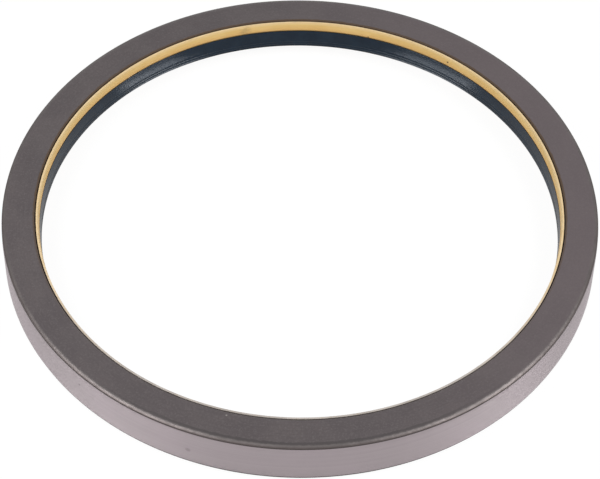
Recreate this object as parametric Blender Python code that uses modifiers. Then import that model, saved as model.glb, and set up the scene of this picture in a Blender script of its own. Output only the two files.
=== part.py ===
"""Cassette seal for a wheel hub, lying on the open end of its case.

A drawn steel case presses into the hub. Inside it a steel carrier holds a
moulded rubber lip with a garter spring. The lip runs on a steel wear sleeve,
whose rubber-lined bore grips the shaft, so the sleeve turns in the case.

Metres, +Z up. The origin is on the seal's axis, level with the case's rim.
Every piece is turned from a section given as (radius, height) points, in
the order that runs down the outside of the section and up its inside.
"""

import math

import bpy

SEAL_NAME = "cassette_seal"

# The shaft, the space round it up to the housing's bore, and the seal's width.
SHAFT_DIAMETER = 0.1800
RADIAL_SPACE = 0.0125
SEAL_WIDTH = 0.0165

# Case: a drawn cup with its outside ground, open downwards.
CASE_WALL = 0.0015
CASE_BEND_RADIUS = 0.0010
SHOULDER_RADIUS = 0.0036
SHOULDER_DROP = 0.0006
LEAD_IN_DEPTH = 0.00012
LEAD_IN_LENGTH = 0.0021
RIM_CHAMFER_DEPTH = 0.0003
RIM_CHAMFER_LENGTH = 0.0009
RIM_EDGE_BREAK = 0.0002
MOUTH_EDGE_BREAK = 0.0004

# Wear sleeve: thin steel, necked in above the lining, with a flange below.
SLEEVE_WALL = 0.0007
SLEEVE_RECESS = 0.0002
NECK_LENGTH = 0.0034
NECK_FLARE = 0.0005
NECK_STEP = 0.00015
SLEEVE_JOG_LENGTH = 0.00125
SLEEVE_BEND_RADIUS = 0.0014

# Rubber lining in the sleeve's bore.
LINING_SQUEEZE = 0.00055
LINING_WALL = 0.0013
LINING_END_LIFT = 0.00135
LINING_LEAD_IN_LENGTH = 0.0011
GRIP_RIB_COUNT = 2
GRIP_RIB_PITCH = 0.0011
GRIP_RIB_HEIGHT = 0.00012
GRIP_RIB_WIDTH = 0.0006

# Lip carrier: an L-shaped steel ring pressed up against the case's flange.
CARRIER_WALL = 0.0010
CARRIER_BEND_RADIUS = 0.0012

# Lip element, moulded on the carrier: a heel round the carrier's edge, a skin
# down its bore that ends in a bumper, and a web that carries the lips. The main
# lip faces the oil at the case's open end, and the dust lip faces the flange.
HEEL_STANDOFF = 0.0030
HEEL_WIDTH = 0.0012
SKIN_THICKNESS = 0.0007
WEB_THICKNESS = 0.0012
WEB_LENGTH = 0.0033
WEB_FILLET = 0.0006
OIL_SIDE_DEPTH = 0.0013
OIL_SIDE_LENGTH = 0.0013
AIR_SIDE_DEPTH = 0.0014
AIR_SIDE_LENGTH = 0.0025
DUST_LIP_INSET = 0.00025
DUST_LIP_TIP_WIDTH = 0.0003
DUST_LIP_ROOT_WIDTH = 0.0009
DUST_LIP_SLANT = 0.0008
BUMPER_HEIGHT = 0.00155
BUMPER_WIDTH = 0.0007
BUMPER_INSET = 0.0005

# Garter spring in the back of the main lip, above the lip's edge.
SPRING_COIL_RADIUS = 0.0009
SPRING_DEPTH = 0.0031
SPRING_OFFSET = 0.0006

# Clearances between the pieces.
RUNNING_GAP = 0.0003
FLANGE_RUNNING_GAP = 0.0008
LIP_CLEARANCE = 0.00015
TOE_CLEARANCE = 0.00175
BUMPER_CLEARANCE = 0.0006
PRESS_GAP = 0.0003
BOND_GAP = 0.0002
SPRING_GAP = 0.0002

EDGE_BREAK = 0.00015
RING_SEGMENTS = 72
COIL_SEGMENTS = 8
SMOOTH_ANGLE = math.radians(30)
WELD_DISTANCE = 0.00001

# Radii and heights that more than one piece is set out from.
CASE_RADIUS = SHAFT_DIAMETER / 2 + RADIAL_SPACE
CASE_BORE_RADIUS = CASE_RADIUS - CASE_WALL
FLANGE_UNDERSIDE = SEAL_WIDTH - CASE_WALL

LINING_RADIUS = SHAFT_DIAMETER / 2 - LINING_SQUEEZE
SLEEVE_BORE_RADIUS = LINING_RADIUS + LINING_WALL
RUNNING_RADIUS = SLEEVE_BORE_RADIUS + SLEEVE_WALL
NECK_RADIUS = LINING_RADIUS + NECK_STEP
NECK_MOUTH_RADIUS = NECK_RADIUS + NECK_FLARE
SLEEVE_TOP = SEAL_WIDTH - SLEEVE_RECESS
NECK_BOTTOM = SLEEVE_TOP - NECK_LENGTH
JOG_BOTTOM = NECK_BOTTOM - SLEEVE_JOG_LENGTH
SLEEVE_FLANGE_RADIUS = CASE_BORE_RADIUS - FLANGE_RUNNING_GAP
CASE_MOUTH_RADIUS = NECK_MOUTH_RADIUS + SLEEVE_WALL + RUNNING_GAP

LIP_RADIUS = RUNNING_RADIUS + LIP_CLEARANCE
HEEL_RADIUS = LIP_RADIUS + HEEL_STANDOFF

CARRIER_RADIUS = CASE_BORE_RADIUS - PRESS_GAP
CARRIER_BORE_RADIUS = CARRIER_RADIUS - CARRIER_WALL
CARRIER_TIP_RADIUS = HEEL_RADIUS + HEEL_WIDTH + BOND_GAP
CARRIER_TOP = FLANGE_UNDERSIDE - PRESS_GAP

HEEL_TOP = CARRIER_TOP - CARRIER_WALL - BOND_GAP
WEB_TOP = HEEL_TOP - HEEL_WIDTH
AIR_SIDE_TOP = WEB_TOP - WEB_LENGTH
MAIN_LIP = AIR_SIDE_TOP - AIR_SIDE_LENGTH
LIP_TOE = MAIN_LIP - OIL_SIDE_LENGTH
DUST_LIP = JOG_BOTTOM - DUST_LIP_INSET
DUST_LIP_ROOT = DUST_LIP - DUST_LIP_SLANT
SPRING_RADIUS = LIP_RADIUS + SPRING_DEPTH
SPRING_HEIGHT = MAIN_LIP + SPRING_OFFSET

# The sleeve's flange lies under the lips, and the bumper ends above it.
SLEEVE_FLANGE_TOP = LIP_TOE - TOE_CLEARANCE
SLEEVE_END = SLEEVE_FLANGE_TOP - SLEEVE_WALL
BUMPER_END = SLEEVE_FLANGE_TOP + BUMPER_CLEARANCE
BUMPER_ROOT = BUMPER_END + BUMPER_HEIGHT
CARRIER_END = BUMPER_ROOT + SKIN_THICKNESS + BOND_GAP


def material(name, colour, roughness, metallic):
    """A plain Principled finish."""
    finish = bpy.data.materials.new(name)
    finish.use_nodes = True
    shader = finish.node_tree.nodes["Principled BSDF"]
    shader.inputs["Base Color"].default_value = (*colour, 1.0)
    shader.inputs["Roughness"].default_value = roughness
    shader.inputs["Metallic"].default_value = metallic
    return finish


def arc(centre, radius, start, end, steps):
    """Points along an arc of the section, from one angle in degrees to another."""
    points = []
    for step in range(steps + 1):
        angle = math.radians(start + (end - start) * step / steps)
        across = centre[0] + radius * math.cos(angle)
        up = centre[1] + radius * math.sin(angle)
        points.append((across, up))
    return points


def sheet_section(path, wall):
    """Section of a sheet of even thickness that follows a path down its middle."""
    left = []
    right = []
    for index, (across, up) in enumerate(path):
        before = path[max(index - 1, 0)]
        after = path[min(index + 1, len(path) - 1)]
        way_in = math.atan2(up - before[1], across - before[0])
        way_out = math.atan2(after[1] - up, after[0] - across)
        if index == 0:
            way_in = way_out
        if index == len(path) - 1:
            way_out = way_in
        turn = math.remainder(way_out - way_in, math.tau)
        heading = way_in + turn / 2
        reach = wall / 2 / math.cos(turn / 2)
        side = (-math.sin(heading) * reach, math.cos(heading) * reach)
        left.append((across + side[0], up + side[1]))
        right.append((across - side[0], up - side[1]))
    return left + right[::-1]


def finish_piece(piece, finish):
    """Shade a piece smooth up to its sharp edges and give it its finish."""
    piece.data.materials.clear()
    piece.data.materials.append(finish)
    piece.data.shade_smooth()
    piece.data.set_sharp_from_angle(angle=SMOOTH_ANGLE)


def turned_ring(name, section, finish, collection):
    """Turn a closed section round the seal's axis."""
    mesh = bpy.data.meshes.new(name)
    corners = [(across, 0.0, up) for across, up in section]
    sides = [(index, (index + 1) % len(corners)) for index in range(len(corners))]
    mesh.from_pydata(corners, sides, [])
    ring = bpy.data.objects.new(name, mesh)
    collection.objects.link(ring)

    screw = ring.modifiers.new("Turn", "SCREW")
    screw.axis = "Z"
    screw.angle = math.tau
    screw.steps = RING_SEGMENTS
    screw.render_steps = RING_SEGMENTS
    screw.use_merge_vertices = True
    screw.merge_threshold = WELD_DISTANCE

    graph = bpy.context.evaluated_depsgraph_get()
    turned = bpy.data.meshes.new_from_object(ring.evaluated_get(graph))
    ring.modifiers.clear()
    ring.data = turned
    bpy.data.meshes.remove(mesh)
    turned.name = name
    finish_piece(ring, finish)
    return ring


def case_section():
    """Drawn cup: flat top, crowned shoulder cut by the ground outside, rim."""
    shoulder_end = math.degrees(math.asin(1 - SHOULDER_DROP / SHOULDER_RADIUS))
    edge_radius = CASE_RADIUS - LEAD_IN_DEPTH
    shoulder_reach = SHOULDER_RADIUS * math.cos(math.radians(shoulder_end))
    shoulder_centre = (edge_radius - shoulder_reach, SEAL_WIDTH - SHOULDER_RADIUS)
    bend_centre = (CASE_BORE_RADIUS - CASE_BEND_RADIUS, FLANGE_UNDERSIDE - CASE_BEND_RADIUS)

    section = [(CASE_MOUTH_RADIUS + MOUTH_EDGE_BREAK, SEAL_WIDTH)]
    section += arc(shoulder_centre, SHOULDER_RADIUS, 90, shoulder_end, 5)
    section += [
        (CASE_RADIUS, SEAL_WIDTH - SHOULDER_DROP - LEAD_IN_LENGTH),
        (CASE_RADIUS, RIM_CHAMFER_LENGTH),
        (CASE_RADIUS - RIM_CHAMFER_DEPTH, 0.0),
        (CASE_BORE_RADIUS + RIM_EDGE_BREAK, 0.0),
        (CASE_BORE_RADIUS, RIM_EDGE_BREAK),
    ]
    section += arc(bend_centre, CASE_BEND_RADIUS, 0, 90, 3)
    section += [
        (CASE_MOUTH_RADIUS + EDGE_BREAK, FLANGE_UNDERSIDE),
        (CASE_MOUTH_RADIUS, FLANGE_UNDERSIDE + EDGE_BREAK),
        (CASE_MOUTH_RADIUS, SEAL_WIDTH - MOUTH_EDGE_BREAK),
    ]
    return section


def carrier_section():
    """L-shaped ring: a flange under the case's flange and a sleeve down its bore."""
    middle_radius = CARRIER_RADIUS - CARRIER_WALL / 2
    middle_height = CARRIER_TOP - CARRIER_WALL / 2
    bend_radius = CARRIER_BEND_RADIUS - CARRIER_WALL / 2
    bend_centre = (middle_radius - bend_radius, middle_height - bend_radius)
    path = [(CARRIER_TIP_RADIUS, middle_height)]
    path += arc(bend_centre, bend_radius, 90, 0, 2)
    path += [(middle_radius, CARRIER_END)]
    return sheet_section(path, CARRIER_WALL)


def sleeve_section():
    """Flared neck, step out round the lining, running surface and flange."""
    half = SLEEVE_WALL / 2
    running_middle = SLEEVE_BORE_RADIUS + half
    flange_middle = SLEEVE_END + half
    bend_centre = (running_middle + SLEEVE_BEND_RADIUS, flange_middle + SLEEVE_BEND_RADIUS)
    path = [
        (NECK_MOUTH_RADIUS + half, SLEEVE_TOP),
        (NECK_RADIUS + half, NECK_BOTTOM),
        (running_middle, JOG_BOTTOM),
    ]
    path += arc(bend_centre, SLEEVE_BEND_RADIUS, 180, 270, 4)
    path += [(SLEEVE_FLANGE_RADIUS, flange_middle)]
    return sheet_section(path, SLEEVE_WALL)


def grip_rib(height):
    """Three points of one rounded rib, on the way up the lining's bore."""
    return [
        (LINING_RADIUS, height - GRIP_RIB_WIDTH / 2),
        (LINING_RADIUS - GRIP_RIB_HEIGHT, height),
        (LINING_RADIUS, height + GRIP_RIB_WIDTH / 2),
    ]


def lining_section():
    """Rubber land for the shaft, with a lead-in and grip ribs at its lower end."""
    back_radius = SLEEVE_BORE_RADIUS - BOND_GAP
    top = NECK_BOTTOM - BOND_GAP
    lead_in_end = SLEEVE_END + LINING_END_LIFT
    land_start = lead_in_end + LINING_LEAD_IN_LENGTH
    section = [
        (NECK_RADIUS, top),
        (back_radius, JOG_BOTTOM - BOND_GAP),
        (back_radius, lead_in_end),
        (back_radius - EDGE_BREAK, lead_in_end),
        (LINING_RADIUS, land_start),
    ]
    for rib in range(GRIP_RIB_COUNT):
        section += grip_rib(land_start + GRIP_RIB_PITCH * (rib + 1))
    section += [(LINING_RADIUS, top - NECK_STEP)]
    return section


def lip_section():
    """Heel, skin with its bumper, and web with the dust lip and main lip."""
    heel_outer = CARRIER_TIP_RADIUS - BOND_GAP
    skin_outer = CARRIER_BORE_RADIUS - BOND_GAP
    skin_inner = skin_outer - SKIN_THICKNESS
    web_inner = HEEL_RADIUS + EDGE_BREAK
    web_outer = web_inner + WEB_THICKNESS
    fillet = min(WEB_FILLET, (skin_inner - web_outer) / 2)
    bumper_outer = SLEEVE_FLANGE_RADIUS - BUMPER_INSET

    section = [
        (HEEL_RADIUS + EDGE_BREAK, CARRIER_TOP),
        (heel_outer, CARRIER_TOP),
        (heel_outer, HEEL_TOP),
        (skin_outer, HEEL_TOP),
        (skin_outer, CARRIER_END - BOND_GAP),
        (CARRIER_RADIUS, CARRIER_END - BOND_GAP),
        (CARRIER_RADIUS, BUMPER_ROOT),
        (bumper_outer, BUMPER_END),
        (bumper_outer - BUMPER_WIDTH, BUMPER_END),
        (skin_inner, BUMPER_ROOT),
    ]
    section += arc((skin_inner - fillet, WEB_TOP - fillet), fillet, 0, 90, 2)
    section += arc((web_outer + fillet, WEB_TOP - fillet), fillet, 90, 180, 2)
    section += [(web_outer, AIR_SIDE_TOP)]
    section += arc((SPRING_RADIUS, SPRING_HEIGHT), SPRING_COIL_RADIUS + SPRING_GAP, 70, 290, 6)
    section += [
        (SPRING_RADIUS, LIP_TOE),
        (LIP_RADIUS + OIL_SIDE_DEPTH, LIP_TOE),
        (LIP_RADIUS, MAIN_LIP),
        (LIP_RADIUS + AIR_SIDE_DEPTH, AIR_SIDE_TOP),
        (web_inner, DUST_LIP_ROOT - DUST_LIP_ROOT_WIDTH),
        (LIP_RADIUS, DUST_LIP - DUST_LIP_TIP_WIDTH),
        (LIP_RADIUS, DUST_LIP),
        (web_inner, DUST_LIP_ROOT),
        (HEEL_RADIUS, WEB_TOP),
        (HEEL_RADIUS, CARRIER_TOP - EDGE_BREAK),
    ]
    return section


def garter_spring(name, finish, collection):
    """Close-coiled steel spring, as the ring that its coils fill."""
    bpy.ops.mesh.primitive_torus_add(
        major_segments=RING_SEGMENTS,
        minor_segments=COIL_SEGMENTS,
        major_radius=SPRING_RADIUS,
        minor_radius=SPRING_COIL_RADIUS,
        location=(0.0, 0.0, SPRING_HEIGHT),
    )
    spring = bpy.context.object
    spring.name = name
    spring.data.name = name
    for holder in list(spring.users_collection):
        holder.objects.unlink(spring)
    collection.objects.link(spring)
    finish_piece(spring, finish)
    return spring


for leftover in list(bpy.data.objects):
    bpy.data.objects.remove(leftover)

seal = bpy.data.collections.new(SEAL_NAME)
bpy.context.scene.collection.children.link(seal)

# The side that is pressed into the hub.
case_steel = material("case_steel", (0.27, 0.25, 0.25), 0.45, 0.9)
carrier_steel = material("carrier_steel", (0.36, 0.35, 0.34), 0.45, 0.9)
lip_rubber = material("lip_rubber", (0.018, 0.020, 0.024), 0.55, 0.0)
spring_steel = material("spring_steel", (0.50, 0.50, 0.49), 0.30, 1.0)

turned_ring("outer_case", case_section(), case_steel, seal)
turned_ring("lip_carrier", carrier_section(), carrier_steel, seal)
turned_ring("seal_lip", lip_section(), lip_rubber, seal)
garter_spring("garter_spring", spring_steel, seal)

# The side that turns with the shaft.
sleeve_steel = material("sleeve_steel", (0.60, 0.43, 0.22), 0.38, 0.6)
lining_rubber = material("lining_rubber", (0.022, 0.030, 0.042), 0.50, 0.0)

sleeve_axis = bpy.data.objects.new("sleeve_axis", None)
seal.objects.link(sleeve_axis)
sleeve = turned_ring("wear_sleeve", sleeve_section(), sleeve_steel, seal)
lining = turned_ring("sleeve_lining", lining_section(), lining_rubber, seal)
sleeve.parent = sleeve_axis
lining.parent = sleeve_axis
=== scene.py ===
import math

import bmesh
import bpy
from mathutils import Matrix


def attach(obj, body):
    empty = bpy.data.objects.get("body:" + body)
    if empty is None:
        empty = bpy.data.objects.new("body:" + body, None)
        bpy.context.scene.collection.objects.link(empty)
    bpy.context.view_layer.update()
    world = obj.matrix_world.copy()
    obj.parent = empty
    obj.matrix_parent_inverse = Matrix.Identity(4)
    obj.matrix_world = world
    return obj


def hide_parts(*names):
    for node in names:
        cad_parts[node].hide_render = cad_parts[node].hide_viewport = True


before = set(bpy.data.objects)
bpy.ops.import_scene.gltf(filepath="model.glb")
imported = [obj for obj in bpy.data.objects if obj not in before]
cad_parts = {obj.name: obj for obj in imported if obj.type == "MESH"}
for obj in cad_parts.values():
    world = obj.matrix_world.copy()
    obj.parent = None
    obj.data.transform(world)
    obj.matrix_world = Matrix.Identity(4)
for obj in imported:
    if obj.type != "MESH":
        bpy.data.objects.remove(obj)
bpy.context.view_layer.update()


# The camera looks down into the bore at about 49 degrees, from 0.84 m away in
# front of the seal, through a long lens. It is rolled by less than a degree.
CAMERA_LENS = 144.0
CAMERA_SENSOR = 36.0
CAMERA_NEAR = 0.01
CAMERA_PLACE = (0.0, -0.5464, 0.6354)
CAMERA_TURN = (40.6276, -0.4819, 0.5516)

camera_data = bpy.data.cameras.new("studio_camera")
camera_data.lens = CAMERA_LENS
camera_data.sensor_width = CAMERA_SENSOR
camera_data.clip_start = CAMERA_NEAR
camera = bpy.data.objects.new("studio_camera", camera_data)
bpy.context.scene.collection.objects.link(camera)
camera.location = CAMERA_PLACE
camera.rotation_euler = [math.radians(turn) for turn in CAMERA_TURN]
bpy.context.scene.camera = camera
bpy.context.scene.view_settings.view_transform = "Standard"


# The studio: a white acrylic table in a white room, and two softboxes. The table
# is polished inside the ring, where its colour is darker as painted shade, and
# duller round it. A faint glow on it at the ring's foot is seen only in what mirrors it.
MM = 0.001
TABLE_SIZE = 8.0
TABLE_DROP = 0.1 * MM
TABLE_IOR = 2.9
POLISHED_END, DULL_START = 90.0 * MM, 101.0 * MM
PAINTED_SHADE_WHITE, DULL_WHITE = 0.52, 0.80
POLISHED_ROUGHNESS, DULL_ROUGHNESS = 0.12, 0.34
FOOT_INSIDE, FOOT_FULL, FOOT_END = 100.0 * MM, 103.5 * MM, 111.0 * MM
FOOT_GLOW = 0.10
SHADOW_WHITE = 0.08
TABLE_GLOW = 0.94
ROOM_LIGHT = 0.36
WHITE = (1.0, 1.0, 1.0, 1.0)


def add_node(tree, kind, **settings):
    """A node of one kind, with its properties set."""
    node = tree.nodes.new(kind)
    for name, value in settings.items():
        setattr(node, name, value)
    return node


def plug(tree, socket, source):
    """Link a socket to another one, or set its value."""
    if isinstance(source, bpy.types.NodeSocket):
        tree.links.new(source, socket)
    else:
        socket.default_value = source


def feed(tree, node, **sources):
    """Plug inputs of a node by their names, with _ for a space."""
    for name, source in sources.items():
        plug(tree, node.inputs[name.replace("_", " ")], source)


def calculate(tree, operation, *sources):
    """The result of one step of arithmetic on sockets or numbers."""
    step = add_node(tree, "ShaderNodeMath", operation=operation)
    for socket, source in zip(step.inputs, sources):
        plug(tree, socket, source)
    return step.outputs[0]


def ramp(tree, value, start, end, low=0.0, high=1.0, kind="LINEAR"):
    """A value that runs from low at the start to high at the end."""
    slope = add_node(tree, "ShaderNodeMapRange", interpolation_type=kind)
    feed(tree, slope, Value=value, From_Min=start, From_Max=end, To_Min=low, To_Max=high)
    return slope.outputs["Result"]


def blend_values(tree, factor, first, second):
    """Two values mixed by a mask."""
    mix = add_node(tree, "ShaderNodeMix", data_type="FLOAT")
    feed(tree, mix, Factor=factor, A=first, B=second)
    return mix.outputs["Result"]


def blend_shaders(tree, factor, first, second):
    """Two shader nodes mixed by a mask."""
    mix = add_node(tree, "ShaderNodeMixShader")
    for socket, source in zip(mix.inputs, (factor, first.outputs[0], second.outputs[0])):
        plug(tree, socket, source)
    return mix


bpy.ops.object.select_all(action="DESELECT")
bpy.ops.mesh.primitive_plane_add(size=TABLE_SIZE, location=(0.0, 0.0, -TABLE_DROP))
bpy.ops.object.transform_apply(location=True, rotation=True, scale=True)
table = bpy.context.object
table.name = table.data.name = "studio_table"
acrylic = bpy.data.materials.new("white_acrylic")
acrylic.use_nodes = True
tree = acrylic.node_tree
tree.nodes.clear()
light_path = add_node(tree, "ShaderNodeLightPath")
place = add_node(tree, "ShaderNodeTexCoord")
from_axis = add_node(tree, "ShaderNodeVectorMath", operation="LENGTH")
feed(tree, from_axis, Vector=place.outputs["Object"])
away = from_axis.outputs["Value"]
# Inside the ring the table's white is darker: painted shade.
white = ramp(tree, away, POLISHED_END, DULL_START, PAINTED_SHADE_WHITE, DULL_WHITE)
roughness = ramp(tree, away, POLISHED_END, DULL_START, POLISHED_ROUGHNESS, DULL_ROUGHNESS)
foot = ramp(tree, away, FOOT_END, FOOT_FULL, 0.0, FOOT_GLOW, "SMOOTHSTEP")
foot = calculate(tree, "MULTIPLY", foot, calculate(tree, "GREATER_THAN", away, FOOT_INSIDE))
foot = calculate(tree, "MULTIPLY", foot, light_path.outputs["Is Glossy Ray"])
gloss = add_node(tree, "ShaderNodeBsdfPrincipled")
feed(tree, gloss, Base_Color=white, Roughness=roughness, IOR=TABLE_IOR)
feed(tree, gloss, Emission_Color=WHITE, Emission_Strength=foot)
matt = add_node(tree, "ShaderNodeBsdfDiffuse")
feed(tree, matt, Color=(SHADOW_WHITE, SHADOW_WHITE, SHADOW_WHITE, 1.0))
glow = add_node(tree, "ShaderNodeEmission")
feed(tree, glow, Strength=TABLE_GLOW)
seen = add_node(tree, "ShaderNodeAddShader")
plug(tree, seen.inputs[0], matt.outputs[0])
plug(tree, seen.inputs[1], glow.outputs[0])
clear = add_node(tree, "ShaderNodeBsdfTransparent")
geometry = add_node(tree, "ShaderNodeNewGeometry")
from_below = blend_shaders(tree, geometry.outputs["Backfacing"], seen, clear)
shown = blend_shaders(tree, light_path.outputs["Is Camera Ray"], gloss, from_below)
surface = add_node(tree, "ShaderNodeOutputMaterial")
feed(tree, surface, Surface=shown.outputs[0])
table.data.materials.append(acrylic)

room = bpy.data.worlds.new("studio_room")
bpy.context.scene.world = room
room.use_nodes = True
tree = room.node_tree
tree.nodes.clear()
light_path = add_node(tree, "ShaderNodeLightPath")
in_sight = light_path.outputs["Is Camera Ray"]
for ray in ("Is Glossy Ray", "Is Transmission Ray"):
    in_sight = calculate(tree, "MAXIMUM", in_sight, light_path.outputs[ray])
air = add_node(tree, "ShaderNodeBackground")
feed(tree, air, Color=WHITE, Strength=blend_values(tree, in_sight, ROOM_LIGHT, 1.0))
sky = add_node(tree, "ShaderNodeOutputWorld")
feed(tree, sky, Surface=air.outputs[0])


def softbox(name, azimuth, elevation, distance, width, height, radiance):
    """A rectangular lamp that faces the seal. Azimuth 0 is at +X, 90 at +Y."""
    lamp = bpy.data.lights.new(name, "AREA")
    lamp.shape = "RECTANGLE"
    lamp.size = width
    lamp.size_y = height
    lamp.energy = radiance * math.pi * width * height
    box = bpy.data.objects.new(name, lamp)
    bpy.context.scene.collection.objects.link(box)
    around, up = math.radians(azimuth), math.radians(elevation)
    box.location = (
        distance * math.cos(up) * math.cos(around),
        distance * math.cos(up) * math.sin(around),
        distance * math.sin(up),
    )
    box.rotation_euler = (math.pi / 2 - up, 0.0, around + math.pi / 2)
    box.visible_camera = False


softbox("softbox_left", azimuth=201.0, elevation=54.0, distance=0.45,
        width=0.21, height=0.16, radiance=8.3)
softbox("softbox_right", azimuth=346.0, elevation=53.0, distance=0.54,
        width=0.21, height=0.19, radiance=9.6)


# The case is a cup drawn from 1.5 mm sheet steel, phosphated dark grey. Its
# outside is ground bright for the press fit in the hub, which cuts the crowned
# shoulder off at a crisp edge, with a slight lead-in below it.
CASE_MOUTH = 91.1 * MM
CASE_BORE = 101.0 * MM
CASE_OUTSIDE = 102.5 * MM
CASE_TOP = 16.5 * MM
CASE_FLANGE_UNDERSIDE = 15.0 * MM
CASE_BEND = 1.0 * MM
MOUTH_ROUND, MOUTH_BREAK, BORE_BREAK = 0.45 * MM, 0.15 * MM, 0.2 * MM
SHOULDER_RADIUS = 3.6 * MM
SHOULDER_START = 100.39 * MM
SHOULDER_CORNER = (SHOULDER_START + SHOULDER_RADIUS, CASE_TOP)
SHOULDER_EDGE = (102.38 * MM, 15.9 * MM)
SHOULDER_BREAK = (102.27 * MM, 15.97 * MM)
SHOULDER_SOFTNESS = 0.05 * MM
GROUND_START = 102.39 * MM
GROUND_TOP = (102.41 * MM, 15.50 * MM)
LEAD_IN_END = 13.8 * MM
RIM_CHAMFER = (102.2 * MM, 0.9 * MM)
RIM_BREAK = 0.08 * MM
RIM_FACE = 0.01 * MM
TURN_STEPS = 360
RING_SMOOTHING = 32.0
SAME_POINT = 0.001 * MM

PHOSPHATE = ((0.064, 0.051, 0.054), (0.078, 0.063, 0.065))
PALE_GRAIN, DARK_GRAIN = (0.118, 0.102, 0.102), (0.058, 0.046, 0.048)
SCRATCHES = (0.105, 0.092, 0.094)
PAINTED_LIGHT_SIDE = (0.112, 0.086, 0.092)
PALE_SPECK, SPECK_PLACE = (0.24, 0.22, 0.21), (255.8, 92.6 * MM, CASE_TOP, 0.45 * MM)
FRONT_PAINTED_SHADE = (0.047, 0.038, 0.039)
BURNISHED = ((0.100, 0.088, 0.087), (0.128, 0.113, 0.111))
BROWNED_AND_SHADED_EDGE = (0.083, 0.067, 0.065)
PAINTED_MOUTH_SHADE = (0.060, 0.034, 0.017)
GROUND_STEEL = ((0.35, 0.305, 0.318), (0.425, 0.372, 0.387))
GROUND_PATCHES = (0.406, 0.348, 0.372)
DARK_SPOT_COLOUR = (0.15, 0.12, 0.13)
DARK_SPOTS = (
    (319.75, 8.0 * MM, 0.5 * MM, 0.7),
    (311.5, 15.2 * MM, 0.7 * MM, 0.7),
    (250.0, 6.5 * MM, 1.3 * MM, 0.35),
    (226.0, 10.5 * MM, 0.6 * MM, 0.7),
)
FRONT, BACK = (0.0, -1.0, 0.0), (0.0, 1.0, 0.0)


def stand_section(name, inner, outer, bottom, top):
    """A flat face standing on the XZ plane, to be cut and turned to a ring."""
    bpy.ops.object.select_all(action="DESELECT")
    bpy.ops.mesh.primitive_plane_add(
        size=1.0,
        location=((inner + outer) / 2, 0.0, (bottom + top) / 2),
        rotation=(math.pi / 2, 0.0, 0.0),
    )
    section = bpy.context.object
    section.name = section.data.name = name
    section.scale = (outer - inner, top - bottom, 1.0)
    bpy.ops.object.transform_apply(location=True, rotation=True, scale=True)
    bpy.ops.object.mode_set(mode="EDIT")
    return section


def cut_section(start, end, remove_right=False):
    """Cut the section along a line of (radius, height) points."""
    run = (end[0] - start[0], end[1] - start[1])
    length = math.hypot(*run)
    bpy.ops.mesh.select_all(action="SELECT")
    bpy.ops.mesh.bisect(
        plane_co=(start[0], 0.0, start[1]),
        plane_no=(run[1] / length, 0.0, -run[0] / length),
        threshold=SAME_POINT,
        clear_outer=remove_right,
    )


def drop_corner(section, outside, below):
    """Take away the section's faces inside one radius and below one height."""
    bpy.ops.mesh.select_mode(type="FACE")
    bpy.ops.mesh.select_all(action="DESELECT")
    mesh = bmesh.from_edit_mesh(section.data)
    for face in mesh.faces:
        middle = face.calc_center_median()
        face.select = middle.x < outside and middle.z < below
    bmesh.update_edit_mesh(section.data)
    bpy.ops.mesh.delete(type="FACE")
    bpy.ops.mesh.select_all(action="SELECT")
    bpy.ops.mesh.dissolve_limited(angle_limit=math.radians(0.5))


def select_points(section, points, reach=0.02 * MM):
    """Select the section's corners near some (radius, height) points."""
    bpy.ops.mesh.select_mode(type="VERT")
    bpy.ops.mesh.select_all(action="DESELECT")
    mesh = bmesh.from_edit_mesh(section.data)
    for corner in mesh.verts:
        radius = math.hypot(corner.co.x, corner.co.y)
        gaps = [math.hypot(radius - point[0], corner.co.z - point[1]) for point in points]
        corner.select = min(gaps) < reach
    mesh.select_flush_mode()
    bmesh.update_edit_mesh(section.data)


def round_corners(section, points, offset, segments):
    """Round or break the corners at some (radius, height) points."""
    select_points(section, points)
    bpy.ops.mesh.bevel(offset=offset, segments=segments, affect="VERTICES")


def shade_evenly(ring, angle):
    """Smooth shading that keeps the wide faces flat up to their rounded edges."""
    bpy.ops.object.shade_smooth_by_angle(angle=math.radians(angle))
    even = ring.modifiers.new("Even", "WEIGHTED_NORMAL")
    even.keep_sharp = True
    bpy.ops.object.modifier_apply(modifier="Even")


def turn_section(section, steps):
    """Turn the section's outline round the seal's axis to a closed ring."""
    bpy.ops.mesh.select_mode(type="FACE")
    bpy.ops.mesh.select_all(action="SELECT")
    bpy.ops.mesh.dissolve_faces()
    bpy.ops.mesh.delete(type="ONLY_FACE")
    bpy.ops.mesh.select_mode(type="VERT")
    bpy.ops.mesh.select_all(action="SELECT")
    bpy.ops.mesh.spin(steps=steps, angle=math.tau, center=(0.0, 0.0, 0.0), axis=(0.0, 0.0, 1.0))
    bpy.ops.mesh.select_all(action="SELECT")
    bpy.ops.mesh.remove_doubles(threshold=SAME_POINT)
    bpy.ops.mesh.normals_make_consistent(inside=False)
    bpy.ops.object.mode_set(mode="OBJECT")
    shade_evenly(section, RING_SMOOTHING)


case = stand_section("case_ring", CASE_MOUTH, SHOULDER_CORNER[0], 0.0, CASE_TOP)
cut_section((CASE_BORE, 0.0), (CASE_BORE, CASE_TOP))
cut_section((CASE_BORE, CASE_FLANGE_UNDERSIDE), (0.0, CASE_FLANGE_UNDERSIDE))
drop_corner(case, CASE_BORE, CASE_FLANGE_UNDERSIDE)
round_corners(case, [SHOULDER_CORNER], SHOULDER_RADIUS, 28)
round_corners(case, [(CASE_BORE, CASE_FLANGE_UNDERSIDE)], CASE_BEND, 8)
round_corners(case, [(CASE_MOUTH, CASE_TOP)], MOUTH_ROUND, 8)
round_corners(case, [(CASE_MOUTH, CASE_FLANGE_UNDERSIDE)], MOUTH_BREAK, 3)
round_corners(case, [(CASE_BORE, 0.0)], BORE_BREAK, 3)
cut_section((CASE_OUTSIDE, 0.0), (CASE_OUTSIDE, CASE_TOP), remove_right=True)
cut_section((CASE_OUTSIDE, LEAD_IN_END), SHOULDER_EDGE, remove_right=True)
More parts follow.
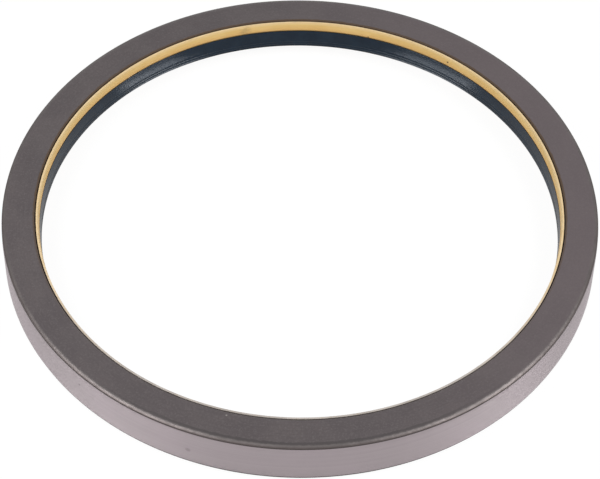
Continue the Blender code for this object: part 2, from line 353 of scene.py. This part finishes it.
cut_section((RIM_CHAMFER[0], 0.0), (CASE_OUTSIDE, RIM_CHAMFER[1]), remove_right=True)
cut_section(GROUND_TOP, SHOULDER_BREAK, remove_right=True)
round_corners(case, [SHOULDER_BREAK, GROUND_TOP], SHOULDER_SOFTNESS, 2)
round_corners(case, [(RIM_CHAMFER[0], 0.0)], RIM_BREAK, 2)
turn_section(case, TURN_STEPS)


def new_group(name, inputs, output):
    """A node group with its input and output sockets."""
    group = bpy.data.node_groups.new(name, "ShaderNodeTree")
    for socket in inputs:
        group.interface.new_socket(socket, in_out="INPUT", socket_type="NodeSocketFloat")
    group.interface.new_socket(output, in_out="OUTPUT", socket_type="NodeSocketFloat")
    return group, add_node(group, "NodeGroupInput"), add_node(group, "NodeGroupOutput")


ring_marks, ask, give = new_group("ring_marks", ("Along", "Across", "Detail"), "Marks")
place = add_node(ring_marks, "ShaderNodeTexCoord")
split = add_node(ring_marks, "ShaderNodeSeparateXYZ")
feed(ring_marks, split, Vector=place.outputs["Object"])
flat = add_node(ring_marks, "ShaderNodeCombineXYZ")
feed(ring_marks, flat, X=split.outputs["X"], Y=split.outputs["Y"])
radius = add_node(ring_marks, "ShaderNodeVectorMath", operation="LENGTH")
feed(ring_marks, radius, Vector=flat.outputs[0])
run = calculate(ring_marks, "SUBTRACT", radius.outputs["Value"], split.outputs["Z"])
along = add_node(ring_marks, "ShaderNodeVectorMath", operation="SCALE")
feed(ring_marks, along, Vector=flat.outputs[0], Scale=ask.outputs["Along"])
lift = add_node(ring_marks, "ShaderNodeCombineXYZ")
feed(ring_marks, lift, Z=calculate(ring_marks, "MULTIPLY", run, ask.outputs["Across"]))
stretched = add_node(ring_marks, "ShaderNodeVectorMath", operation="ADD")
plug(ring_marks, stretched.inputs[0], along.outputs[0])
plug(ring_marks, stretched.inputs[1], lift.outputs[0])
grain = add_node(ring_marks, "ShaderNodeTexNoise")
feed(ring_marks, grain, Vector=stretched.outputs[0], Scale=1.0, Detail=ask.outputs["Detail"])
feed(ring_marks, give, Marks=grain.outputs["Fac"])

blotches, ask, give = new_group("blotches", ("Scale", "Detail", "Low", "High"), "Mask")
place = add_node(blotches, "ShaderNodeTexCoord")
cloud = add_node(blotches, "ShaderNodeTexNoise")
feed(blotches, cloud, Vector=place.outputs["Object"])
feed(blotches, cloud, Scale=ask.outputs["Scale"], Detail=ask.outputs["Detail"])
low, high = ask.outputs["Low"], ask.outputs["High"]
feed(blotches, give, Mask=ramp(blotches, cloud.outputs["Fac"], low, high, kind="SMOOTHSTEP"))


def new_finish(name, metallic, roughness):
    """A material with its tree and its Principled shader."""
    finish = bpy.data.materials.new(name)
    finish.use_nodes = True
    shader = finish.node_tree.nodes["Principled BSDF"]
    feed(finish.node_tree, shader, Metallic=metallic, Roughness=roughness)
    return finish, finish.node_tree, shader


def marks_on(tree, along, across, detail):
    """Fine marks that run round the ring."""
    group = add_node(tree, "ShaderNodeGroup", node_tree=ring_marks)
    feed(tree, group, Along=along, Across=across, Detail=detail)
    return group.outputs["Marks"]


def blotches_on(tree, scale, detail, low, high):
    """A mask of soft patches."""
    group = add_node(tree, "ShaderNodeGroup", node_tree=blotches)
    feed(tree, group, Scale=scale, Detail=detail, Low=low, High=high)
    return group.outputs["Mask"]


def spread(tree, value, low, high):
    """A value from 0 to 1 spread over another range."""
    return ramp(tree, value, 0.0, 1.0, low, high)


def both(tree, first, second):
    """A mask that stands only where two masks stand."""
    return calculate(tree, "MULTIPLY", first, second)


def blend_colours(tree, factor, first, second, share=1.0):
    """Two colours mixed by a mask, or by a share of it."""
    mix = add_node(tree, "ShaderNodeMix", data_type="RGBA")
    feed(tree, mix, Factor=factor if share == 1.0 else both(tree, factor, share))
    for socket, colour in ((mix.inputs[6], first), (mix.inputs[7], second)):
        made = isinstance(colour, bpy.types.NodeSocket)
        plug(tree, socket, colour if made else (*colour, 1.0))
    return mix.outputs[2]


def lay_colours(tree, colour, *layers):
    """A colour with others laid over it in turn, each by its mask and share."""
    for mask, tint, share in layers:
        colour = blend_colours(tree, mask, colour, tint, share)
    return colour


def side_mask(tree, toward, start, end):
    """A mask that sets in along one direction from the seal's axis."""
    place = add_node(tree, "ShaderNodeTexCoord")
    reach = add_node(tree, "ShaderNodeVectorMath", operation="DOT_PRODUCT")
    plug(tree, reach.inputs[0], place.outputs["Object"])
    plug(tree, reach.inputs[1], toward)
    return ramp(tree, reach.outputs["Value"], start, end, kind="SMOOTHSTEP")


def radius_mask(tree, start, end, wander, scale):
    """A mask that sets in between two radii, along an uneven line."""
    place = add_node(tree, "ShaderNodeTexCoord")
    flat = add_node(tree, "ShaderNodeVectorMath", operation="MULTIPLY")
    plug(tree, flat.inputs[0], place.outputs["Object"])
    plug(tree, flat.inputs[1], (1.0, 1.0, 0.0))
    radius = add_node(tree, "ShaderNodeVectorMath", operation="LENGTH")
    feed(tree, radius, Vector=flat.outputs[0])
    drift = blotches_on(tree, scale, detail=4.0, low=0.2, high=0.8)
    uneven = calculate(tree, "MULTIPLY_ADD", drift, wander, radius.outputs["Value"])
    return ramp(tree, uneven, start + wander / 2, end + wander / 2, kind="SMOOTHSTEP")


def spot_mask(tree, azimuth, radius, height, reach, core=0.3):
    """A soft spot at an azimuth in degrees, a radius and a height, full in its core."""
    place = add_node(tree, "ShaderNodeTexCoord")
    away = add_node(tree, "ShaderNodeVectorMath", operation="DISTANCE")
    around = math.radians(azimuth)
    plug(tree, away.inputs[0], place.outputs["Object"])
    plug(tree, away.inputs[1], (radius * math.cos(around), radius * math.sin(around), height))
    return ramp(tree, away.outputs["Value"], reach, reach * core, kind="SMOOTHSTEP")


def bump_on(tree, height, distance, strength, under=None):
    """A bump of some depth, on top of another one."""
    bump = add_node(tree, "ShaderNodeBump")
    feed(tree, bump, Height=height, Distance=distance, Strength=strength)
    if under is not None:
        feed(tree, bump, Normal=under)
    return bump.outputs["Normal"]


phosphate, tree, shader = new_finish("phosphated_steel", 0.0, 0.36)
scratched = spread(tree, marks_on(tree, 55.0, 2600.0, 1.0), -0.9, 1.2)
# Toward +X the flange is painted lighter: painted light.
painted_light_side = side_mask(tree, (1.0, 0.25, 0.0), -10.0 * MM, 100.0 * MM)
# Inside the shoulder, toward the front, a ragged ring is painted darker: painted shade.
front_painted_shade = radius_mask(tree, 99.95 * MM, 100.35 * MM, 0.45 * MM, 700.0)
front_painted_shade = both(tree, front_painted_shade, side_mask(tree, FRONT, 70.0 * MM, 99.0 * MM))
burnished = radius_mask(tree, 100.85 * MM, 101.45 * MM, 0.35 * MM, 900.0)
# The shoulder's outer edge is tinted brown and darkened: a brown tint, and painted shade.
browned_and_shaded = radius_mask(tree, 101.65 * MM, 102.1 * MM, 0.1 * MM, 900.0)
# Round the mouth on the far side the case is painted dark brown: painted shade in the gap to
# the sleeve.
gap_shade = radius_mask(tree, 91.95 * MM, 91.55 * MM, 0.25 * MM, 500.0)
gap_shade = both(tree, gap_shade, side_mask(tree, BACK, -70.0 * MM, 10.0 * MM))
burnished_and_shaded = blend_colours(tree, blotches_on(tree, 120.0, 3.0, 0.3, 0.7), *BURNISHED)
burnished_and_shaded = blend_colours(tree, browned_and_shaded, burnished_and_shaded, BROWNED_AND_SHADED_EDGE, 0.75)
colour = lay_colours(
    tree,
    blend_colours(tree, blotches_on(tree, 70.0, 3.0, 0.35, 0.65), *PHOSPHATE),
    (blotches_on(tree, 1500.0, 3.0, 0.48, 0.70), PALE_GRAIN, 0.45),
    (blotches_on(tree, 1300.0, 3.0, 0.52, 0.35), DARK_GRAIN, 0.40),
    (scratched, SCRATCHES, 0.30),
    (painted_light_side, PAINTED_LIGHT_SIDE, 0.55),
    (spot_mask(tree, *SPECK_PLACE), PALE_SPECK, 1.0),
    (front_painted_shade, FRONT_PAINTED_SHADE, 1.0),
    (burnished, burnished_and_shaded, 1.0),
    (gap_shade, PAINTED_MOUTH_SHADE, 1.0),
)
feed(tree, shader, Base_Color=colour, Metallic=spread(tree, burnished, 0.0, 0.8))
dull = spread(tree, blotches_on(tree, 160.0, 4.0, 0.3, 0.7), 0.30, 0.42)
dull = blend_values(tree, gap_shade, dull, 0.65)
shiny = spread(tree, blotches_on(tree, 260.0, 3.0, 0.3, 0.7), 0.35, 0.45)
feed(tree, shader, Roughness=blend_values(tree, burnished, dull, shiny))
waves = bump_on(tree, blotches_on(tree, 420.0, 1.0, 0.2, 0.8), 0.12 * MM, 0.35)
pores = bump_on(tree, blotches_on(tree, 3600.0, 2.0, 0.2, 0.8), 0.03 * MM, 0.30, waves)
feed(tree, shader, Normal=pores)

ground, tree, shader = new_finish("ground_steel", 1.0, 0.33)
colour = blend_colours(tree, marks_on(tree, 12.0, 1400.0, 3.0), *GROUND_STEEL)
patches = blotches_on(tree, 45.0, 3.0, 0.4, 0.7)
colour = blend_colours(tree, patches, colour, GROUND_PATCHES, 0.5)
# Small dark spots on the ground outside, given by azimuth and height.
for azimuth, height, reach, share in DARK_SPOTS:
    dark_spot = spot_mask(tree, azimuth, CASE_OUTSIDE, height, reach)
    colour = blend_colours(tree, dark_spot, colour, DARK_SPOT_COLOUR, share)
feed(tree, shader, Base_Color=colour)
feed(tree, shader, Roughness=spread(tree, marks_on(tree, 30.0, 2600.0, 2.0), 0.42, 0.56))
feed(tree, shader, Normal=bump_on(tree, marks_on(tree, 8.0, 5200.0, 3.0), 0.02 * MM, 0.35))

case.data.materials.append(phosphate)
case.data.materials.append(ground)
for face in case.data.polygons:
    around = math.hypot(face.center.x, face.center.y)
    outside = around > GROUND_START and face.center.z < GROUND_TOP[1]
    if outside or face.center.z < RIM_FACE:
        face.material_index = 1
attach(case, "case")
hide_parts("outer_case")


# The carrier is an L-shaped ring pressed from 1 mm sheet steel. It is pushed up
# into the case, and the rubber lip is moulded on it.
CARRIER_INSIDE, CARRIER_BORE, CARRIER_OUTSIDE = 96.0 * MM, 99.7 * MM, 100.7 * MM
CARRIER_BOTTOM, CARRIER_UNDERSIDE, CARRIER_TOP = 6.5 * MM, 13.7 * MM, 14.7 * MM
CARRIER_BEND, CARRIER_BREAK = 1.2 * MM, 0.2 * MM
DRAWN_STEEL = ((0.32, 0.31, 0.30), (0.40, 0.39, 0.38))

carrier = stand_section(
    "lip_carrier_ring", CARRIER_INSIDE, CARRIER_OUTSIDE, CARRIER_BOTTOM, CARRIER_TOP
)
cut_section((CARRIER_BORE, 0.0), (CARRIER_BORE, CASE_TOP))
cut_section((CASE_BORE, CARRIER_UNDERSIDE), (0.0, CARRIER_UNDERSIDE))
drop_corner(carrier, CARRIER_BORE, CARRIER_UNDERSIDE)
round_corners(carrier, [(CARRIER_OUTSIDE, CARRIER_TOP)], CARRIER_BEND, 8)
round_corners(carrier, [(CARRIER_BORE, CARRIER_UNDERSIDE)], CARRIER_BREAK, 3)
turn_section(carrier, TURN_STEPS)

drawn_steel, tree, shader = new_finish("drawn_steel", 1.0, 0.40)
colour = blend_colours(tree, marks_on(tree, 25.0, 900.0, 3.0), *DRAWN_STEEL)
feed(tree, shader, Base_Color=colour)
feed(tree, shader, Roughness=spread(tree, blotches_on(tree, 200.0, 3.0, 0.3, 0.7), 0.34, 0.48))
feed(tree, shader, Normal=bump_on(tree, marks_on(tree, 20.0, 3000.0, 2.0), 0.02 * MM, 0.3))
carrier.data.materials.append(drawn_steel)
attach(carrier, "case")
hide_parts("lip_carrier")


# The lip element is one rubber moulding: a heel round the carrier's edge, a
# skin down its bore that ends in a bumper, and a web that carries the dust lip
# and the main lip, with a groove for the spring in the main lip's back.
LIP_OUTLINE = (
    (94.75, 14.7), (95.8, 14.7), (95.8, 13.5), (99.5, 13.5), (99.5, 6.3), (100.7, 6.3),
    (100.7, 5.6), (99.7, 4.05), (99.0, 4.05), (98.8, 5.6), (98.8, 12.3), (95.95, 12.3),
    (95.95, 9.0), (95.076, 8.134), (94.39, 8.156), (93.824, 7.76), (93.6, 7.1),
    (93.824, 6.44), (94.39, 6.044), (95.076, 6.066), (94.7, 5.2), (92.9, 5.2),
    (91.6, 6.5), (93.0, 9.0), (94.75, 9.7), (91.6, 11.1), (91.6, 11.4), (94.75, 10.6),
    (94.6, 12.3), (94.6, 14.55),
)
LIP_START_SIZE = 0.1 * MM
LIP_STEPS = TURN_STEPS // 2
SKIN_CORNER, WEB_CORNER = (98.8 * MM, 12.3 * MM), (95.95 * MM, 12.3 * MM)
LIP_CORNER_RADIUS = 0.6 * MM
LIP_BLACK = ((0.016, 0.018, 0.021), (0.024, 0.026, 0.029))

bpy.ops.object.select_all(action="DESELECT")
start = (LIP_OUTLINE[0][0] * MM, 0.0, LIP_OUTLINE[0][1] * MM)
bpy.ops.mesh.primitive_plane_add(size=LIP_START_SIZE, location=start)
lip = bpy.context.object
lip.name = lip.data.name = "seal_lip_ring"
bpy.ops.object.transform_apply(location=True, rotation=True, scale=True)
bpy.ops.object.mode_set(mode="EDIT")
bpy.ops.mesh.select_all(action="SELECT")
bpy.ops.mesh.merge(type="CENTER")
for last, point in zip(LIP_OUTLINE, LIP_OUTLINE[1:]):
    step = ((point[0] - last[0]) * MM, 0.0, (point[1] - last[1]) * MM)
    bpy.ops.mesh.extrude_region_move(TRANSFORM_OT_translate={"value": step})
bpy.ops.mesh.select_all(action="SELECT")
bpy.ops.mesh.edge_face_add()
round_corners(lip, [SKIN_CORNER, WEB_CORNER], LIP_CORNER_RADIUS, 5)
turn_section(lip, LIP_STEPS)

lip_rubber, tree, shader = new_finish("lip_rubber", 0.0, 0.5)
colour = blend_colours(tree, blotches_on(tree, 300.0, 3.0, 0.35, 0.7), *LIP_BLACK)
feed(tree, shader, Base_Color=colour)
feed(tree, shader, Roughness=spread(tree, blotches_on(tree, 800.0, 3.0, 0.3, 0.7), 0.42, 0.58))
feed(tree, shader, Normal=bump_on(tree, marks_on(tree, 40.0, 2400.0, 2.0), 0.02 * MM, 0.3))
lip.data.materials.append(lip_rubber)
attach(lip, "case")
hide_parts("seal_lip")


# The garter spring is wound close from fine bright wire, as a straight coil
# that is bent round and joined end to end in the groove behind the main lip.
SPRING_RADIUS = 94.7 * MM
SPRING_HEIGHT = 7.1 * MM
WIRE_RADIUS = 0.19 * MM
WIRE_SIDES = 5
COIL_OUTSIDE = 0.9 * MM
COIL_RADIUS = COIL_OUTSIDE - WIRE_RADIUS
COIL_COUNT = 1400
COIL_STEPS = 7
END_JOINT = 0.01 * MM
SPRING_WIRE = ((0.46, 0.46, 0.45), (0.56, 0.56, 0.55))

bpy.ops.object.select_all(action="DESELECT")
bpy.ops.mesh.primitive_circle_add(
    vertices=WIRE_SIDES,
    radius=WIRE_RADIUS,
    location=(0.0, 0.0, COIL_RADIUS),
    rotation=(math.pi / 2, 0.0, 0.0),
)
spring = bpy.context.object
spring.name = spring.data.name = "garter_spring_coils"
bpy.ops.object.transform_apply(location=True, rotation=True, scale=True)
wind = spring.modifiers.new("Wind", "SCREW")
wind.axis = "X"
wind.angle = math.tau
wind.screw_offset = math.tau * SPRING_RADIUS / COIL_COUNT
wind.iterations = COIL_COUNT
wind.steps = wind.render_steps = COIL_STEPS
wind.use_merge_vertices = True
wind.merge_threshold = SAME_POINT
bpy.ops.object.modifier_apply(modifier="Wind")
for point in spring.data.vertices:
    around = point.co.x / SPRING_RADIUS
    out = SPRING_RADIUS + point.co.y
    point.co = (out * math.cos(around), out * math.sin(around), SPRING_HEIGHT + point.co.z)
bpy.ops.object.mode_set(mode="EDIT")
bpy.ops.mesh.select_all(action="SELECT")
bpy.ops.mesh.remove_doubles(threshold=END_JOINT)
bpy.ops.mesh.normals_make_consistent(inside=False)
bpy.ops.object.mode_set(mode="OBJECT")
bpy.ops.object.shade_smooth()

spring_steel, tree, shader = new_finish("spring_wire", 1.0, 0.25)
colour = blend_colours(tree, blotches_on(tree, 400.0, 2.0, 0.35, 0.65), *SPRING_WIRE)
feed(tree, shader, Base_Color=colour)
feed(tree, shader, Roughness=spread(tree, blotches_on(tree, 900.0, 2.0, 0.3, 0.7), 0.2, 0.32))
spring.data.materials.append(spring_steel)
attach(spring, "case")
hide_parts("garter_spring")


# The wear sleeve is drawn from 0.7 mm sheet and turns with the shaft. Its neck
# shows in the case's mouth, tan with the lacquer that bonds the rubber. Below
# the neck it steps out round the lining, and it ends in a flange.
SLEEVE_WALL = 0.7 * MM
SLEEVE_TOP = 16.3 * MM
SLEEVE_PATH = ((90.45, 16.3), (89.95, 12.9), (91.1, 11.65), (91.1, 3.1), (100.2, 3.1))
SLEEVE_BENDS = (((91.1, 3.1), 1.4, 10), ((91.1, 11.65), 0.3, 4), ((89.95, 12.9), 0.4, 5))
SLEEVE_SMOOTHING = 40.0
FLANGE_EDGE = 100.1 * MM
EDGE_SEARCH, EDGE_LEVEL = 0.1 * MM, 0.01 * MM
EDGE_ROUND = 0.18 * MM
CUT_FACE_DEPTH, CUT_FACE_TILT = 0.3 * MM, 0.35
RUNNING_START = 5.0 * MM

LACQUER = ((0.86, 0.565, 0.19), (0.92, 0.64, 0.245))
LACQUER_STREAKS = (0.83, 0.53, 0.173)
THICK_LACQUER_AND_SHADE, PAINTED_LIGHT_BY_RIM = (0.77, 0.445, 0.135), (0.94, 0.71, 0.37)
FAINT_PATCH, PATCH_PLACE = (0.46, 0.28, 0.11), (103.5, 89.9 * MM, 13.9 * MM, 3.2 * MM)
BROWN_NICK, NICK_PLACE = (0.20, 0.11, 0.04), (53.8, 89.75 * MM, 14.3 * MM, 0.55 * MM)
RUBBER_FLASH, FLASH_PLACE = (0.02, 0.02, 0.025), (74.3, 89.65 * MM, 13.0 * MM, 0.45 * MM)
RIM_LACQUER = ((0.76, 0.56, 0.30), (0.82, 0.62, 0.35))
RIM_FRONT_GREY = ((0.39, 0.35, 0.32), (0.51, 0.46, 0.42))
RIM_SPECKS, PAINTED_RIM_SHADE = (0.45, 0.36, 0.24), (0.16, 0.095, 0.045)
RUNNING_STEEL = ((0.46, 0.45, 0.44), (0.56, 0.55, 0.54))
PAINTED_LIGHT_LACQUER = (0.50, 0.44, 0.39)
UP = (0.0, 0.0, 1.0)

bpy.ops.object.select_all(action="DESELECT")
bpy.ops.mesh.primitive_circle_add(
    vertices=TURN_STEPS, radius=SLEEVE_PATH[0][0] * MM, location=(0.0, 0.0, SLEEVE_TOP)
)
sleeve = bpy.context.object
sleeve.name = sleeve.data.name = "wear_sleeve_ring"
bpy.ops.object.transform_apply(location=True, rotation=True, scale=True)
bpy.ops.object.mode_set(mode="EDIT")
bpy.ops.mesh.select_all(action="SELECT")
for last, point in zip(SLEEVE_PATH, SLEEVE_PATH[1:]):
    drop = (0.0, 0.0, (point[1] - last[1]) * MM)
    wider = point[0] / last[0]
    bpy.ops.mesh.extrude_region_move(TRANSFORM_OT_translate={"value": drop})
    bpy.ops.transform.resize(value=(wider, wider, 1.0), center_override=(0.0, 0.0, 0.0))
for corner, offset, segments in SLEEVE_BENDS:
    select_points(sleeve, [(corner[0] * MM, corner[1] * MM)])
    bpy.ops.mesh.bevel(offset=offset * MM, segments=segments, affect="EDGES")
bpy.ops.object.mode_set(mode="OBJECT")
sheet = sleeve.modifiers.new("Sheet", "SOLIDIFY")
sheet.thickness = SLEEVE_WALL
sheet.offset = 0.0
sheet.use_even_offset = True
bpy.ops.object.modifier_apply(modifier="Sheet")
bpy.ops.object.mode_set(mode="EDIT")
bpy.ops.mesh.select_all(action="SELECT")
bpy.ops.mesh.normals_make_consistent(inside=False)
bpy.ops.mesh.select_mode(type="EDGE")
bpy.ops.mesh.select_all(action="DESELECT")
for side in bmesh.from_edit_mesh(sleeve.data).edges:
    first, second = [(end.co.xy.length, end.co.z) for end in side.verts]
    high = min(first[1], second[1]) > SLEEVE_TOP - EDGE_SEARCH
    far = min(first[0], second[0]) > FLANGE_EDGE
    level = abs(first[1] - second[1]) < EDGE_LEVEL
    same = abs(first[0] - second[0]) < EDGE_LEVEL
    side.select = (high or far) and level and same
bmesh.update_edit_mesh(sleeve.data)
bpy.ops.mesh.bevel(offset=EDGE_ROUND, segments=5, affect="EDGES")
bpy.ops.object.mode_set(mode="OBJECT")
shade_evenly(sleeve, SLEEVE_SMOOTHING)

lacquer, tree, shader = new_finish("tan_lacquer", 0.0, 0.36)
faint = spot_mask(tree, *PATCH_PLACE)
faint = both(tree, faint, blotches_on(tree, 900.0, 3.0, 0.3, 0.6))
colour = lay_colours(
    tree,
    blend_colours(tree, blotches_on(tree, 90.0, 3.0, 0.35, 0.7), *LACQUER),
    (marks_on(tree, 60.0, 700.0, 2.0), LACQUER_STREAKS, 0.35),
    # darker toward the rubber: a thicker lacquer, and painted shade
    (side_mask(tree, UP, 14.7 * MM, 13.0 * MM), THICK_LACQUER_AND_SHADE, 0.7),
    # paler toward the rim: painted light
    (side_mask(tree, UP, 14.9 * MM, 15.9 * MM), PAINTED_LIGHT_BY_RIM, 0.6),
    (faint, FAINT_PATCH, 0.5),
    (spot_mask(tree, *NICK_PLACE), BROWN_NICK, 1.0),
    (spot_mask(tree, *FLASH_PLACE), RUBBER_FLASH, 1.0),
)
feed(tree, shader, Base_Color=colour)
feed(tree, shader, Roughness=spread(tree, blotches_on(tree, 500.0, 3.0, 0.3, 0.7), 0.30, 0.44))
feed(tree, shader, Normal=bump_on(tree, marks_on(tree, 25.0, 2200.0, 2.0), 0.02 * MM, 0.3))
sleeve.data.materials.append(lacquer)

trimmed, tree, shader = new_finish("trimmed_edge", 0.0, 0.42)
# The rim's top turns greyer toward the front.
greyer_front = blend_colours(tree, blotches_on(tree, 130.0, 3.0, 0.35, 0.65), *RIM_FRONT_GREY)
# On the far side the rim's outer edge is painted dark brown: painted shade in the gap to the
# case.
gap_shade = radius_mask(tree, 90.62 * MM, 90.74 * MM, 0.08 * MM, 600.0)
gap_shade = both(tree, gap_shade, side_mask(tree, BACK, -60.0 * MM, 10.0 * MM))
colour = lay_colours(
    tree,
    blend_colours(tree, blotches_on(tree, 130.0, 3.0, 0.35, 0.65), *RIM_LACQUER),
    (side_mask(tree, FRONT, 10.0 * MM, 78.0 * MM), greyer_front, 1.0),
    (blotches_on(tree, 900.0, 3.0, 0.50, 0.75), RIM_SPECKS, 0.4),
    (gap_shade, PAINTED_RIM_SHADE, 0.8),
)
feed(tree, shader, Base_Color=colour)
feed(tree, shader, Roughness=spread(tree, marks_on(tree, 60.0, 1500.0, 2.0), 0.36, 0.50))
feed(tree, shader, Normal=bump_on(tree, marks_on(tree, 40.0, 4000.0, 2.0), 0.02 * MM, 0.3))
sleeve.data.materials.append(trimmed)

running, tree, shader = new_finish("running_steel", 1.0, 0.22)
# The flank's top, seen down the gap under the case's mouth, is painted pale and not metallic:
# painted light.
painted_light_band = side_mask(tree, UP, 15.0 * MM, 15.5 * MM)
colour = blend_colours(tree, marks_on(tree, 12.0, 2200.0, 3.0), *RUNNING_STEEL)
colour = blend_colours(tree, painted_light_band, colour, PAINTED_LIGHT_LACQUER)
feed(tree, shader, Base_Color=colour, Metallic=spread(tree, painted_light_band, 1.0, 0.0))
shiny = spread(tree, marks_on(tree, 20.0, 3200.0, 2.0), 0.18, 0.30)
feed(tree, shader, Roughness=blend_values(tree, painted_light_band, shiny, 0.45))
feed(tree, shader, Normal=bump_on(tree, marks_on(tree, 8.0, 5200.0, 3.0), 0.01 * MM, 0.3))
sleeve.data.materials.append(running)
for face in sleeve.data.polygons:
    outward = face.normal.xy.dot(face.center.xy) > 0.0
    if face.center.z > SLEEVE_TOP - CUT_FACE_DEPTH and face.normal.z > CUT_FACE_TILT:
        face.material_index = 1
    elif outward and face.center.z > RUNNING_START:
        face.material_index = 2
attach(sleeve, "sleeve")
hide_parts("wear_sleeve")


# The lining is navy-black rubber moulded in the sleeve's bore. It has a lead-in
# cone at its lower end and two fine ribs above it, which grip the shaft. Toward
# its upper end its face leans back a little.
LINING_BORE = 89.45 * MM
LINING_BACK = 90.76 * MM
LINING_BOTTOM, LINING_LEAD_IN, LINING_TOP = 4.1 * MM, 5.2 * MM, 12.5 * MM
LINING_TOE = LINING_BACK - 0.36 * MM
LINING_STEP = ((91.2 * MM, LINING_TOP - 1.74 * MM), (89.6 * MM, LINING_TOP))
LEAN, LEAN_START, LEAN_RADIUS = 0.22 * MM, 9.6 * MM, 1.3 * MM
RIB_HEIGHTS = (6.3 * MM, 7.4 * MM)
RIB_REACH, RIB_DEPTH, RIB_ROUND = 0.3 * MM, 0.12 * MM, 0.12 * MM
LINING_NAVY = ((0.006, 0.014, 0.027), (0.009, 0.020, 0.036))
LINING_GLOSS, LINING_SHEEN = 0.36, (0.74, 0.85, 1.0, 1.0)

lining = stand_section("rubber_lining", LINING_BORE, LINING_BACK, LINING_BOTTOM, LINING_TOP)
cut_section((LINING_BORE, LINING_LEAD_IN), (LINING_TOE, LINING_BOTTOM), remove_right=True)
for height in RIB_HEIGHTS:
    for offset in (-RIB_REACH, 0.0, RIB_REACH):
        cut_section((LINING_BACK, height + offset), (LINING_BORE, height + offset))
select_points(lining, [(LINING_BORE, height) for height in RIB_HEIGHTS])
bpy.ops.transform.translate(value=(-RIB_DEPTH, 0.0, 0.0))
bpy.ops.mesh.bevel(offset=RIB_ROUND, segments=3, affect="VERTICES")
bpy.ops.mesh.select_all(action="SELECT")
bpy.ops.mesh.dissolve_faces()
cut_section(*LINING_STEP, remove_right=True)
cut_section((LINING_BORE + LEAN, LINING_TOP), (LINING_BORE, LEAN_START), remove_right=True)
round_corners(lining, [(LINING_BORE, LEAN_START)], LEAN_RADIUS, 5)
turn_section(lining, TURN_STEPS)

lining_rubber, tree, shader = new_finish("lining_rubber", 0.0, 0.34)
colour = blend_colours(tree, blotches_on(tree, 220.0, 3.0, 0.35, 0.7), *LINING_NAVY)
feed(tree, shader, Base_Color=colour)
feed(tree, shader, Roughness=spread(tree, blotches_on(tree, 700.0, 3.0, 0.3, 0.7), 0.12, 0.17))
feed(tree, shader, Specular_IOR_Level=LINING_GLOSS, Specular_Tint=LINING_SHEEN)
feed(tree, shader, Normal=bump_on(tree, marks_on(tree, 30.0, 3000.0, 2.0), 0.01 * MM, 0.15))
lining.data.materials.append(lining_rubber)
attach(lining, "sleeve")
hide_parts("sleeve_lining")
